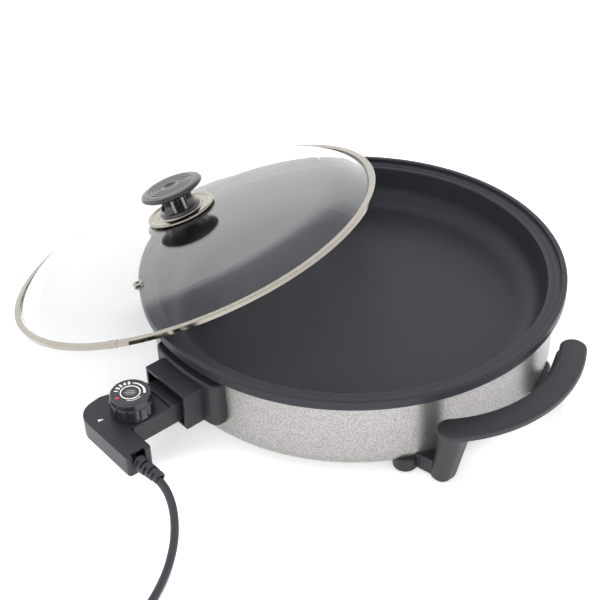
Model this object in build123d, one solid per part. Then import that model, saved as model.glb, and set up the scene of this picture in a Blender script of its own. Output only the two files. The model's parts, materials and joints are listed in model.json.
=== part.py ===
from build123d import *
import math
import os

# Round electric frying pan with a leaning glass lid and a plug-in thermostat probe.
# Millimetres. +Z is up and z = 0 is the table. The pan's axis is the Z axis, the two
# handles point along +X and -X, and the socket with its probe points along -Y.

# ---- pan and housing
RIM_R = 200.0
RIM_Z = 91.0
LIP_HEIGHT = 9.2
LIP_THICK = 2.6
SEAT_R = 194.8
SEAT_Z = 87.6
LEDGE_R = 187.6
LEDGE_Z = 86.8
WALL_TOP_R = 183.0
FLOOR_Z = 49.0
FLOOR_CORNER_R = 177.0
FLOOR_FILLET = 22.0
PAN_SHEET = 3.2
FLANGE_UNDER_Z = 84.4

HOUSING_R = 191.8
HOUSING_FOOT_R = 190.4
HOUSING_BOTTOM_Z = 7.0
HOUSING_FILLET = 13.0
HOUSING_SHEET = 0.8

# ---- heating element, reflector and the posts that hold the stack together
ELEMENT_R = 95.0
ELEMENT_TUBE_R = 3.3
ELEMENT_GAP_DEG = 16.0
PIN_X = 13.0
PIN_R = 2.3
CONTACT_Z = 42.2
ROD_R = 2.92
CONTACT_R = 3.0
GUIDE_BORE_R = 3.0
CLAMP_ANGLES = (30.0, 150.0, 90.0)
CLAMP_UNDER_Z = CONTACT_Z - ELEMENT_TUBE_R - 1.2
CLAMP_HOLE_OFFSET = 10.5
SHEATH_END_Y = -190.5
SHEATH_BORE_Y = -168.0
PIN_TIP_Y = -222.0
GUIDE_Y = (-152.0, -116.0)
POST_ANGLES = (45.0, 135.0, 225.0, 315.0)
POST_CIRCLE_R = 130.0
POST_R = 5.0
POST_HOLE_R = 2.2
BOSS_R = 7.0
BOSS_UNDER_Z = 38.0
REFLECTOR_Z = 22.0
REFLECTOR_SHEET = 0.5
REFLECTOR_R = 158.0

# ---- socket on the housing wall
SOCKET_PLATE_R = 203.5
SOCKET_PLATE_HALF = 42.5
SOCKET_PLATE_Z = (31.0, 75.5)
SOCKET_PLATE_END_ROUND = 8.0
SOCKET_FRONT_Y = -220.0
SOCKET_BLOCK_HALF = 28.5
SOCKET_BLOCK_Z = (32.5, 69.0)
MOUTH_HALF = 25.3
MOUTH_Z = (35.6, 66.2)
MOUTH_FLOOR_Y = -196.5
SOCKET_SCREW_X = (-34.0, 34.0)
SOCKET_SCREW_Z = 49.0
TERMINAL_PLATE_Y = (-187.0, -183.0)

# ---- handles
GRIP_INNER_CENTRE_X = 100.0
GRIP_INNER_R = 117.7
GRIP_OUTER_CENTRE_X = 97.0
GRIP_OUTER_R = 144.5
GRIP_END_Y = 90.0
GRIP_Z = (59.0, 66.0)
GRIP_END_ROUND = 12.0
LEG_TOP_XY = (205.0, -73.5)
LEG_TOP_SIZE = (22.0, 24.0)
LEG_FOOT_XY = (191.6, -71.8)
LEG_FOOT_SIZE = (19.5, 22.0)
LEG_ROUND = 8.5
ARM_Z = (2.2, 18.0)
BOSS_TOP_Z = 15.0
ARM_SIDE_Y = (-83.2, -63.0)
BOSS_XY = (162.0, -87.5)
BOSS_RADIUS = 11.0
HANDLE_SCREW_XY = (148.0, -79.5)
HANDLE_SCREW_BOSS_R = 9.0
HOUSING_GAP = 0.25

# ---- lid
LID_R = 193.6
LID_CENTRE = (-161.8, -67.9, 70.6)
LID_TILT = 20.3
LID_LOW_AZIMUTH = 204.5
GLASS_THICK = 3.2
GLASS_EDGE_R = 192.8
CROWN_HEIGHT = 31.0
CROWN_ARC = 950.0
CROWN_EDGE_R = 150.0
SHOULDER_ARC = 70.0
BAND_SHEET = 0.6
BAND_LIP_IN_R = 187.6
VENT_XY = (23.0, -125.0)
VENT_R = 3.2
KNOB_R = 32.3
KNOB_TOP = 60.0
KNOB_CAP_T = 7.0
WASHER_R = 34.8

# ---- thermostat probe
PROBE_BOTTOM_Z = 37.5
PROBE_SPLIT_Z = 48.0
PROBE_TOP_Z = 58.0
PROBE_WALL = 2.2
NECK_HALF = 20.0
NOSE_Y = -199.0
ARM_INNER_Y = -268.0
ARM_OUTER_Y = -292.0
ARM_END_X = 48.0
HUB_LEFT_X = -34.0
DIAL_XY = (0.0, -254.0)
DIAL_R = 17.8
DIAL_FOOT_R = 18.8
DIAL_DISC_R = 15.0
DIAL_Z = (58.6, 77.5)
ROD_TIP_Y = -119.0
ROD_ROOT_Y = -216.0
PROBE_SCREW_XY = ((-25.0, -264.0), (20.0, -272.5))
DIAL_FLUTES = 12

# ---- cord
CORD_D = 7.0
RELIEF_START = (46.0, -281.0, 47.0)
RELIEF_END = (71.0, -277.6, 44.0)
RELIEF_RINGS = 5
COIL_CENTRE = (200.0, -373.0)
COIL_R = 37.0
COIL_SECTION = 14.0
COIL_LIFT = 1.4
COIL_ENTRY_DEG = 210.0
TAIL_DEG = 270.0
PLUG_AXIS_Z = 18.6
PLUG_R = 18.5
PLUG_LENGTH = 48.0
PLUG_PIN_R = 2.4
PLUG_PIN_ROOT_R = 2.0
PLUG_PIN_OFFSET = 9.5
PLUG_PIN_TIP = 67.0

PARTS = "parts"
os.makedirs(PARTS, exist_ok=True)


# ---------------------------------------------------------------- helpers
def save(name, shape):
    """Write one node."""
    export_step(shape, os.path.join(PARTS, name + ".step"))


def group(solids):
    """Several separate solids kept as one node."""
    return Compound([piece.solid() for piece in solids])


def outline(points, rounds=None):
    """Closed flat outline in the XY plane; rounds maps a corner's index to its radius."""
    face = make_face(Polyline(*points, close=True)).face()
    for index, radius in (rounds or {}).items():
        corner = face.vertices().sort_by_distance(Vector(*points[index]))[0]
        face = face.fillet_2d(radius, [corner])
    return face


def turned(points, rounds=None):
    """Solid of revolution about Z from an (r, z) outline."""
    return revolve(Plane.XZ * outline(points, rounds), Axis.Z).solid()


def rod(radius, start, end):
    """Round bar between two points."""
    path = Vector(*end) - Vector(*start)
    plane = Plane(origin=start, z_dir=path)
    return extrude(plane * Circle(radius), path.length).solid()


def tube(outer, inner, start, end):
    """Round tube between two points."""
    return (rod(outer, start, end) - rod(inner, start, end)).solid()


def block(x_range, y_range, z_range):
    """Box from its three ranges."""
    size = [high - low for low, high in (x_range, y_range, z_range)]
    middle = [(low + high) / 2 for low, high in (x_range, y_range, z_range)]
    return Pos(*middle) * Solid.make_box(*size, Plane(origin=[-side / 2 for side in size]))


def around(radius, degrees, z=0.0):
    """Point on a circle about the pan's axis."""
    angle = math.radians(degrees)
    return (radius * math.cos(angle), radius * math.sin(angle), z)


def screw(shank_r, head_r, head_t, start, end):
    """Pan-head cross-recess screw: the head's top is at start and the shank's tip is at end."""
    length = (Vector(*end) - Vector(*start)).length
    bar = turned([
        (0, 0), (head_r, 0), (head_r, head_t), (shank_r, head_t), (shank_r, length), (0, length)],
        {1: 0.35 * head_t})
    arm = 0.62 * head_r
    slot = 0.14 * head_r
    for turn in (0, 90):
        bar -= Rot(0, 0, turn) * block((-arm, arm), (-slot, slot), (-1.0, 0.45 * head_t))
    frame = Plane(origin=start, z_dir=Vector(*end) - Vector(*start)).location
    return (frame * bar).solid()


# ---------------------------------------------------------------- pan and housing
def cooking_pan():
    """Pressed bowl with a stepped lid seat, a turned-down lip and four bosses underneath."""
    under = FLOOR_Z - PAN_SHEET
    profile = [
        (0, FLOOR_Z), (FLOOR_CORNER_R, FLOOR_Z), (WALL_TOP_R, LEDGE_Z), (LEDGE_R, LEDGE_Z),
        (LEDGE_R + 0.6, SEAT_Z), (SEAT_R, SEAT_Z), (SEAT_R, RIM_Z), (RIM_R, RIM_Z),
        (RIM_R, RIM_Z - LIP_HEIGHT), (RIM_R - LIP_THICK, RIM_Z - LIP_HEIGHT),
        (RIM_R - LIP_THICK, FLANGE_UNDER_Z), (WALL_TOP_R + PAN_SHEET, FLANGE_UNDER_Z),
        (FLOOR_CORNER_R + PAN_SHEET - 0.4, under), (0, under),
    ]
    rounds = {1: FLOOR_FILLET, 2: 1.6, 6: 1.2, 7: 1.6, 9: 0.8, 11: 1.2, 12: FLOOR_FILLET + PAN_SHEET}
    pan = turned(profile, rounds)
    for angle in POST_ANGLES:
        foot = around(POST_CIRCLE_R, angle, BOSS_UNDER_Z)
        pan += rod(BOSS_R, foot, around(POST_CIRCLE_R, angle, under + 0.5))
        pan -= rod(1.7, foot, around(POST_CIRCLE_R, angle, under - 0.6))
    return pan.solid()


def outer_housing():
    """Painted steel bowl that hangs under the rim, with holes for fixings and contacts."""
    bottom_in = HOUSING_BOTTOM_Z + HOUSING_SHEET
    profile = [
        (0, HOUSING_BOTTOM_Z), (HOUSING_FOOT_R, HOUSING_BOTTOM_Z), (HOUSING_R, FLANGE_UNDER_Z),
        (HOUSING_R - HOUSING_SHEET, FLANGE_UNDER_Z), (HOUSING_FOOT_R - HOUSING_SHEET, bottom_in),
        (0, bottom_in),
    ]
    shell = turned(profile, {1: HOUSING_FILLET, 4: HOUSING_FILLET - HOUSING_SHEET})
    for angle in POST_ANGLES:
        low = around(POST_CIRCLE_R, angle, HOUSING_BOTTOM_Z - 1)
        shell -= rod(POST_HOLE_R, low, around(POST_CIRCLE_R, angle, bottom_in + 1))
    for side_x in (-1, 1):
        for side_y in (-1, 1):
            x = side_x * HANDLE_SCREW_XY[0]
            y = side_y * HANDLE_SCREW_XY[1]
            shell -= rod(POST_HOLE_R, (x, y, HOUSING_BOTTOM_Z - 1), (x, y, bottom_in + 1))
    wall_y = (-HOUSING_R - 2, -HOUSING_R + 12)
    shell -= block((-19, 19), wall_y, (36.5, 58.5))
    for x in SOCKET_SCREW_X:
        shell -= rod(2.2, (x, wall_y[0], SOCKET_SCREW_Z), (x, wall_y[1], SOCKET_SCREW_Z))
    return shell.solid()


# ---------------------------------------------------------------- heater stack
def element_path():
    """Centre line of the heater: most of a circle, with both ends led out to the socket."""
    start = math.radians(-90 + ELEMENT_GAP_DEG)
    end = math.radians(270 - ELEMENT_GAP_DEG)
    middle = (start + end) / 2
    z = CONTACT_Z
    points = [(ELEMENT_R * math.cos(a), ELEMENT_R * math.sin(a), z) for a in (start, middle, end)]
    ring = ThreePointArc(*points)
    return points[0], points[2], ring


def heating_element():
    """Sheathed tube heater with hollow ends for the contact pins."""
    first, last, ring = element_path()
    z = CONTACT_Z
    bend_y = first[1] - 22.0
    leads = []
    for x, point in ((PIN_X, first), (-PIN_X, last)):
        leads.append(FilletPolyline(
            (x, SHEATH_END_Y, z), (x, bend_y, z), (point[0], point[1], z), radius=12.0))
    body = sweep(Plane(origin=ring @ 0, z_dir=ring % 0) * Circle(ELEMENT_TUBE_R), ring)
    for lead in leads:
        body += sweep(Plane(origin=lead @ 0, z_dir=lead % 0) * Circle(ELEMENT_TUBE_R), lead)
    for point in (first, last):
        body += Pos(*point) * Sphere(ELEMENT_TUBE_R)
    for x in (-PIN_X, PIN_X):
        body -= rod(PIN_R + 0.05, (x, SHEATH_END_Y - 1, z), (x, SHEATH_BORE_Y, z))
    return body.solid()


def contact_pins():
    """Two plated pins that stand out of the wall into the socket."""
    pins = []
    for x in (-PIN_X, PIN_X):
        pin = rod(PIN_R, (x, PIN_TIP_Y, CONTACT_Z), (x, SHEATH_BORE_Y - 1, CONTACT_Z))
        tip = pin.edges().sort_by(Axis.Y)[0]
        pins.append(pin.chamfer(0.8, None, [tip]))
    return group(pins)


def pin_bushes():
    """Ceramic collars round the pins at the ends of the sheath."""
    ends = (SHEATH_END_Y - 4.0, SHEATH_END_Y)
    return group([
        tube(ELEMENT_TUBE_R, PIN_R + 0.05, (x, ends[0], CONTACT_Z), (x, ends[1], CONTACT_Z))
        for x in (-PIN_X, PIN_X)])


def element_clamps():
    """Pressed straps that hold the heater against the underside of the pan."""
    straps = []
    top = FLOOR_Z - PAN_SHEET
    for angle in CLAMP_ANGLES:
        strap = block((ELEMENT_R - 16, ELEMENT_R + 16), (-6, 6), (CLAMP_UNDER_Z, top))
        strap -= block((ELEMENT_R - 20, ELEMENT_R - 5.2), (-7, 7), (CLAMP_UNDER_Z - 1, top - 1.2))
        strap -= block((ELEMENT_R + 5.2, ELEMENT_R + 20), (-7, 7), (CLAMP_UNDER_Z - 1, top - 1.2))
        strap -= block((ELEMENT_R - 4, ELEMENT_R + 4), (-7, 7), (CLAMP_UNDER_Z + 1.1, top + 1))
        for x in (ELEMENT_R - CLAMP_HOLE_OFFSET, ELEMENT_R + CLAMP_HOLE_OFFSET):
            strap -= rod(1.6, (x, 0, CLAMP_UNDER_Z - 2), (x, 0, top + 1))
        straps.append(Rot(0, 0, angle) * strap.solid())
    return group(straps)


def clamp_screws():
    """Screws through the straps into the pan floor."""
    screws = []
    strap_under = FLOOR_Z - PAN_SHEET - 1.2
    for angle in CLAMP_ANGLES:
        for x in (ELEMENT_R - CLAMP_HOLE_OFFSET, ELEMENT_R + CLAMP_HOLE_OFFSET):
            one = screw(1.4, 2.8, 1.8, (x, 0, strap_under - 1.8), (x, 0, strap_under + 1.1))
            screws.append(Rot(0, 0, angle) * one)
    return group(screws)


def sensor_guide():
    """Block under the pan floor that the probe's rod slides into."""
    top = FLOOR_Z - PAN_SHEET
    guide = block((-8, 8), GUIDE_Y, (38.0, top))
    guide = guide.fillet(2.0, guide.edges().filter_by(Axis.Y).group_by(Axis.Z)[0])
    guide -= rod(GUIDE_BORE_R, (0, GUIDE_Y[0] - 1, CONTACT_Z), (0, GUIDE_Y[1] + 1, CONTACT_Z))
    return guide.solid()


def heat_reflector():
    """Thin dished sheet between the heater and the housing floor."""
    rise = 5.0
    profile = [
        (0, REFLECTOR_Z), (REFLECTOR_R - 12, REFLECTOR_Z), (REFLECTOR_R, REFLECTOR_Z + rise),
        (REFLECTOR_R, REFLECTOR_Z + rise + REFLECTOR_SHEET),
        (REFLECTOR_R - 12.2, REFLECTOR_Z + REFLECTOR_SHEET), (0, REFLECTOR_Z + REFLECTOR_SHEET),
    ]
    sheet = turned(profile)
    for angle in POST_ANGLES:
        low = around(POST_CIRCLE_R, angle, REFLECTOR_Z - 1)
        sheet -= rod(POST_HOLE_R, low, around(POST_CIRCLE_R, angle, REFLECTOR_Z + 2))
    return sheet.solid()


def spacers(low_z, high_z):
    """Four spacer tubes on the post circle."""
    return group([
        tube(POST_R, POST_HOLE_R, around(POST_CIRCLE_R, a, low_z), around(POST_CIRCLE_R, a, high_z))
        for a in POST_ANGLES])


def body_screws():
    """Long screws from under the housing, through the spacers, into the pan's bosses."""
    head = 2.4
    start_z = HOUSING_BOTTOM_Z - head
    return group([
        screw(1.65, 4.2, head, around(POST_CIRCLE_R, a, start_z),
              around(POST_CIRCLE_R, a, FLOOR_Z - PAN_SHEET - 1.2))
        for a in POST_ANGLES])


# ---------------------------------------------------------------- socket
def socket_housing():
    """Moulded plate on the wall with the open mouth that the probe plugs into."""
    low_z, high_z = SOCKET_PLATE_Z
    half = SOCKET_PLATE_HALF
    plate = extrude(Pos(0, 0, low_z) * Circle(SOCKET_PLATE_R), high_z - low_z).solid()
    plate = plate & block((-half, half), (-SOCKET_PLATE_R - 1, -150), (low_z, high_z))
    plate -= extrude(Pos(0, 0, low_z - 1) * Circle(HOUSING_R + 0.1), high_z - low_z + 2)
    plate = plate.solid()
    outer = plate.faces().filter_by(GeomType.CYLINDER).sort_by(Axis.Y)[0]
    plate = plate.fillet(SOCKET_PLATE_END_ROUND, outer.edges().filter_by(Axis.Z))
    rim = plate.faces().sort_by(Axis.Z)
    plate = plate.fillet(2.5, [edge for edge in rim[0].edges() if edge.center().Y < -HOUSING_R])
    rim = plate.faces().sort_by(Axis.Z)
    plate = plate.fillet(2.5, [edge for edge in rim[-1].edges() if edge.center().Y < -HOUSING_R])
    mouth = block((-SOCKET_BLOCK_HALF, SOCKET_BLOCK_HALF), (SOCKET_FRONT_Y, MOUTH_FLOOR_Y - 1.5),
                  SOCKET_BLOCK_Z)
    mouth = mouth.fillet(1.2, mouth.edges().group_by(Axis.Y)[0])
    mouth = mouth.fillet(1.0, mouth.edges().filter_by(Axis.Y))
    shell = plate + mouth
    shell -= block((-MOUTH_HALF, MOUTH_HALF), (SOCKET_FRONT_Y - 5, MOUTH_FLOOR_Y), MOUTH_Z)
    shell -= block((-18.5, 18.5), (MOUTH_FLOOR_Y - 1.5, -185), (37.0, 58.0))
    for x in SOCKET_SCREW_X:
        shell -= rod(1.5, (x, -180, SOCKET_SCREW_Z), (x, -196, SOCKET_SCREW_Z))
    return shell.solid()


def terminal_plate():
    """Insulating plate inside the wall that holds the sheath ends."""
    low_y, high_y = TERMINAL_PLATE_Y
    plate = block((-40.0, 40.0), (low_y, high_y), (33.5, 59.0))
    inside = extrude(Pos(0, 0, 30) * Circle(HOUSING_FOOT_R - HOUSING_SHEET - 0.1), 40)
    plate = (plate & inside).solid()
    for x in (-PIN_X, PIN_X):
        plate -= rod(ELEMENT_TUBE_R + 0.1, (x, low_y - 1, CONTACT_Z), (x, high_y + 1, CONTACT_Z))
    plate -= rod(3.6, (0, low_y - 1, CONTACT_Z), (0, high_y + 1, CONTACT_Z))
    plate -= block((-5.2, 5.2), (low_y - 1, high_y + 1), (53.8, 55.2))
    for x in SOCKET_SCREW_X:
        plate -= rod(1.6, (x, low_y - 1, SOCKET_SCREW_Z), (x, high_y + 1, SOCKET_SCREW_Z))
    return plate.solid()


def socket_screws():
    """Screws from inside the housing into the moulded socket."""
    start_y = TERMINAL_PLATE_Y[1] + 2.0
    return group([
        screw(1.45, 3.0, 2.0, (x, start_y, SOCKET_SCREW_Z), (x, -195.0, SOCKET_SCREW_Z))
        for x in SOCKET_SCREW_X])


def earth_tongue():
    """Flat steel earth contact standing in the top of the mouth."""
    tongue = block((-5, 5), (-213.0, -181.0), (54.0, 55.0))
    tongue = tongue.fillet(2.5, tongue.edges().filter_by(Axis.Z).group_by(Axis.Y)[0])
    return (tongue + block((-5, 5), (-182.0, -181.0), (46.5, 55.0))).solid()


# ---------------------------------------------------------------- handles
def grip_outline():
    """Crescent plan of the right-hand grip."""
    inner_end_x = GRIP_INNER_CENTRE_X + math.sqrt(GRIP_INNER_R ** 2 - GRIP_END_Y ** 2)
    outer_end_x = GRIP_OUTER_CENTRE_X + math.sqrt(GRIP_OUTER_R ** 2 - GRIP_END_Y ** 2)
    inner_low = (inner_end_x, -GRIP_END_Y)
    inner_high = (inner_end_x, GRIP_END_Y)
    outer_low = (outer_end_x, -GRIP_END_Y)
    outer_high = (outer_end_x, GRIP_END_Y)
    edges = [
        ThreePointArc(inner_low, (GRIP_INNER_CENTRE_X + GRIP_INNER_R, 0), inner_high),
        Line(inner_high, outer_high),
        ThreePointArc(outer_high, (GRIP_OUTER_CENTRE_X + GRIP_OUTER_R, 0), outer_low),
        Line(outer_low, inner_low),
    ]
    crescent = make_face(edges).face()
    return crescent.fillet_2d(GRIP_END_ROUND, crescent.vertices())


def beside_housing(solid):
    """The part of a solid that stays clear of the housing's outer face."""
    low_z = HOUSING_BOTTOM_Z - HOUSING_GAP
    bowl = turned([
        (0, low_z), (HOUSING_FOOT_R + HOUSING_GAP, low_z), (HOUSING_R + HOUSING_GAP, FLANGE_UNDER_Z),
        (0, FLANGE_UNDER_Z)], {1: HOUSING_FILLET + HOUSING_GAP})
    return (solid - bowl).solid()


def leg_and_arm():
    """Leg under one tip of the right-hand grip, with its arm and boss under the housing."""
    foot_x, foot_y = LEG_FOOT_XY
    boss_x, boss_y = BOSS_XY
    screw_x, screw_y = HANDLE_SCREW_XY
    low_z, high_z = ARM_Z
    side_low, side_high = ARM_SIDE_Y
    top = Pos(*LEG_TOP_XY, GRIP_Z[0] + 1) * RectangleRounded(*LEG_TOP_SIZE, LEG_ROUND)
    low = Pos(foot_x, foot_y, 0) * RectangleRounded(*LEG_FOOT_SIZE, LEG_ROUND)
    leg = loft([low, top]).solid()
    leg = leg.fillet(4.0, leg.faces().sort_by(Axis.Z)[0].edges())
    arm = Pos(0, 0, low_z) * outline([
        (screw_x, screw_y - 8), (boss_x, boss_y - 3), (boss_x + 11, side_low), (foot_x, side_low + 3.5),
        (foot_x, side_high + 3), (boss_x + 11, side_high), (screw_x, screw_y + 8)])
    arm = extrude(arm, high_z - low_z).solid()
    boss = rod(BOSS_RADIUS, (boss_x, boss_y, 1.0), (boss_x, boss_y, BOSS_TOP_Z))
    boss = boss.fillet(2.5, boss.edges().filter_by(GeomType.CIRCLE))
    end = rod(HANDLE_SCREW_BOSS_R, (screw_x, screw_y, 2.0), (screw_x, screw_y, HOUSING_BOTTOM_Z))
    piece = leg + arm + boss + end
    piece -= rod(2.1, (screw_x, screw_y, -1), (screw_x, screw_y, high_z))
    piece -= rod(4.4, (screw_x, screw_y, -1), (screw_x, screw_y, 3.6))
    return beside_housing(piece)


def right_handle():
    """One moulding: crescent grip, two legs that the pan stands on, and two fixing arms."""
    low_z, high_z = GRIP_Z
    grip = extrude(Pos(0, 0, low_z) * grip_outline(), high_z - low_z).solid()
    grip = grip.fillet(2.6, grip.faces().sort_by(Axis.Z)[-1].edges())
    grip = grip.fillet(1.6, grip.faces().sort_by(Axis.Z)[0].edges())
    near = leg_and_arm()
    return (grip + near + mirror(near, Plane.XZ)).solid()


def handle_screws():
    """Screws up through the four bosses into the plates inside the housing."""
    return group([
        screw(1.9, 4.1, 2.4, (x, y, 1.2), (x, y, HOUSING_BOTTOM_Z + 5.5))
        for x in (-HANDLE_SCREW_XY[0], HANDLE_SCREW_XY[0])
        for y in (-HANDLE_SCREW_XY[1], HANDLE_SCREW_XY[1])])


def nut_plates():
    """Threaded plates on the housing floor that take the handle screws."""
    plates = []
    low_z = HOUSING_BOTTOM_Z + HOUSING_SHEET
    for x in (-HANDLE_SCREW_XY[0], HANDLE_SCREW_XY[0]):
        for y in (-HANDLE_SCREW_XY[1], HANDLE_SCREW_XY[1]):
            plate = block((x - 6, x + 6), (y - 6, y + 6), (low_z, low_z + 2.5))
            plate = plate + rod(4.0, (x, y, low_z + 2), (x, y, low_z + 5))
            plates.append(plate - rod(1.9, (x, y, low_z - 1), (x, y, low_z + 6)))
    return group(plates)


# ---------------------------------------------------------------- lid
def lid_plane():
    """Frame of the leaning lid: its X runs up the slope and its Z is the lid's axis."""
    tilt = math.radians(LID_TILT)
    low = math.radians(LID_LOW_AZIMUTH)
    axis = (math.sin(tilt) * math.cos(low), math.sin(tilt) * math.sin(low), math.cos(tilt))
    uphill = (-math.cos(tilt) * math.cos(low), -math.cos(tilt) * math.sin(low), math.sin(tilt))
    return Plane(origin=LID_CENTRE, x_dir=uphill, z_dir=axis)


LID = lid_plane().location
CROWN_CENTRE_Z = CROWN_HEIGHT - CROWN_ARC
CROWN_EDGE_ANGLE = math.asin(CROWN_EDGE_R / CROWN_ARC)
SHOULDER_CENTRE = (
    CROWN_EDGE_R - SHOULDER_ARC * math.sin(CROWN_EDGE_ANGLE),
    CROWN_CENTRE_Z + (CROWN_ARC - SHOULDER_ARC) * math.cos(CROWN_EDGE_ANGLE),
)


def crown_point(inset, angle):
    """Point on the crown's arc, inset from the outer face."""
    reach = CROWN_ARC - inset
    return (reach * math.sin(angle), CROWN_CENTRE_Z + reach * math.cos(angle))


def shoulder_point(inset, angle):
    """Point on the shoulder's arc, inset from the outer face."""
    reach = SHOULDER_ARC - inset
    return (SHOULDER_CENTRE[0] + reach * math.sin(angle), SHOULDER_CENTRE[1] + reach * math.cos(angle))


def shoulder_end(inset, z):
    """Angle at which the shoulder's arc comes down to z."""
    return math.acos((z - SHOULDER_CENTRE[1]) / (SHOULDER_ARC - inset))


def crown_z(radius):
    """Height of the crown's outer face."""
    return CROWN_CENTRE_Z + math.sqrt(CROWN_ARC ** 2 - radius ** 2)


def lid_glass():
    """Domed glass with a flat rim, a hole for the knob and one for the vent."""
    half = GLASS_THICK / 2
    start = CROWN_EDGE_ANGLE
    outer_end = shoulder_end(0, half)
    inner_end = shoulder_end(GLASS_THICK, -half)
    outer = shoulder_point(0, outer_end)
    inner = shoulder_point(GLASS_THICK, inner_end)
    edges = [
        ThreePointArc(crown_point(0, 0), crown_point(0, start / 2), crown_point(0, start)),
        ThreePointArc(crown_point(0, start), shoulder_point(0, (start + outer_end) / 2), outer),
        Line(outer, (GLASS_EDGE_R, half)),
        Line((GLASS_EDGE_R, half), (GLASS_EDGE_R, -half)),
        Line((GLASS_EDGE_R, -half), inner),
        ThreePointArc(inner, shoulder_point(GLASS_THICK, (start + inner_end) / 2),
                      crown_point(GLASS_THICK, start)),
        ThreePointArc(crown_point(GLASS_THICK, start), crown_point(GLASS_THICK, start / 2),
                      crown_point(GLASS_THICK, 0)),
        Line(crown_point(GLASS_THICK, 0), crown_point(0, 0)),
    ]
    glass = revolve(Plane.XZ * make_face(edges), Axis.Z).solid()
    glass -= rod(4.0, (0, 0, 0), (0, 0, CROWN_HEIGHT + 5))
    glass -= rod(VENT_R, (*VENT_XY, 0), (*VENT_XY, CROWN_HEIGHT + 5))
    return glass.solid()


def lid_band():
    """Rolled stainless channel round the edge of the glass."""
    half = GLASS_THICK / 2 + 0.1
    out = half + BAND_SHEET
    inner_r = GLASS_EDGE_R + 0.1
    profile = [
        (BAND_LIP_IN_R, half), (BAND_LIP_IN_R, out), (LID_R, out), (LID_R, -out),
        (BAND_LIP_IN_R, -out), (BAND_LIP_IN_R, -half), (inner_r, -half), (inner_r, half),
    ]
    return turned(profile, {2: 0.55, 3: 0.55})


def steam_vent():
    """Steel eyelet pressed through the glass."""
    z = crown_z(math.hypot(*VENT_XY))
    eyelet = rod(VENT_R - 0.05, (*VENT_XY, z - GLASS_THICK - 1.6), (*VENT_XY, z + 1.0))
    eyelet += rod(4.8, (*VENT_XY, z + 0.7), (*VENT_XY, z + 1.6))
    eyelet += rod(4.8, (*VENT_XY, z - GLASS_THICK - 1.8), (*VENT_XY, z - GLASS_THICK - 0.8))
    eyelet -= rod(2.0, (*VENT_XY, 0), (*VENT_XY, CROWN_HEIGHT + 5))
    return eyelet.solid()


KNOB_FOOT_Z = crown_z(0) + 3.2


def knob_washer():
    """Chromed dish with a rolled edge that the knob stands on."""
    low = crown_z(0) + 0.15
    profile = [
        (4.2, low), (WASHER_R - 4.0, low), (WASHER_R - 3.0, low - 0.2), (WASHER_R, low - 0.2),
        (WASHER_R, low + 2.6), (WASHER_R - 3.0, low + 2.6), (WASHER_R - 5.0, low + 1.4),
        (24.0, low + 1.4), (23.0, KNOB_FOOT_Z), (4.2, KNOB_FOOT_Z),
    ]
    return turned(profile, {3: 1.2, 4: 1.3, 5: 1.2, 6: 0.8, 7: 0.6, 8: 0.6})


def knob_stem():
    """Waisted stem with four windows round a centre post."""
    top = KNOB_TOP - KNOB_CAP_T
    waist = (KNOB_FOOT_Z + top) / 2
    edges = [
        Line((2.6, KNOB_FOOT_Z), (21.5, KNOB_FOOT_Z)),
        Line((21.5, KNOB_FOOT_Z), (20.5, KNOB_FOOT_Z + 2.2)),
        ThreePointArc((20.5, KNOB_FOOT_Z + 2.2), (16.8, waist), (23.5, top)),
        Line((23.5, top), (2.6, top)),
        Line((2.6, top), (2.6, KNOB_FOOT_Z)),
    ]
    stem = revolve(Plane.XZ * make_face(edges), Axis.Z).solid()
    window_z = (KNOB_FOOT_Z + 3.2, top - 2.4)
    stem -= tube(12.8, 4.6, (0, 0, window_z[0]), (0, 0, window_z[1]))
    for angle in (45, 135, 225, 315):
        stem -= Rot(0, 0, angle) * block((8.0, 30.0), (-8.0, 8.0), window_z)
    return stem.solid()


def knob_cap():
    """Round top of the knob with turned rings and a broad centre dimple."""
    low = KNOB_TOP - KNOB_CAP_T
    cap = turned([
        (0, low), (23.5, low), (KNOB_R - 2.2, low + 1.6), (KNOB_R, low + 3.2), (KNOB_R, low + 4.4),
        (KNOB_R - 2.0, KNOB_TOP - 0.7), (KNOB_R - 6.0, KNOB_TOP), (0, KNOB_TOP)],
        {3: 0.8, 4: 0.8, 5: 1.2})
    for ring_r in (11.5, 15.0, 18.5, 22.0):
        cap -= turned([
            (ring_r - 0.6, KNOB_TOP + 1), (ring_r - 0.6, KNOB_TOP - 0.6),
            (ring_r + 0.6, KNOB_TOP - 0.6), (ring_r + 0.6, KNOB_TOP + 1)])
    cap -= Pos(0, 0, KNOB_TOP + 15.0) * Sphere(17.0)
    cap -= rod(2.6, (0, 0, low - 1), (0, 0, low + 3.0))
    return cap.solid()


def knob_insert():
    """Threaded brass bush in the cap that the screw pulls against."""
    low = KNOB_TOP - KNOB_CAP_T
    return tube(2.55, 2.0, (0, 0, low - 12.0), (0, 0, low + 3.0))


def knob_seal():
    """Soft washer between the screw's plate and the glass."""
    top = crown_z(0) - GLASS_THICK - 0.1
    return turned([(2.1, top - 1.2), (11.0, top - 1.2), (11.0, top), (2.1, top)])


def knob_screw():
    """Screw with a broad steel plate under the glass."""
    plate_top = crown_z(0) - GLASS_THICK - 1.3
    low = plate_top - 1.0
    body = rod(9.5, (0, 0, low), (0, 0, plate_top))
    body += turned([(0, low - 2.0), (3.4, low - 2.0), (4.2, low + 0.2), (0, low + 0.2)])
    return (body + rod(1.95, (0, 0, low), (0, 0, KNOB_TOP - 5.5))).solid()


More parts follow.
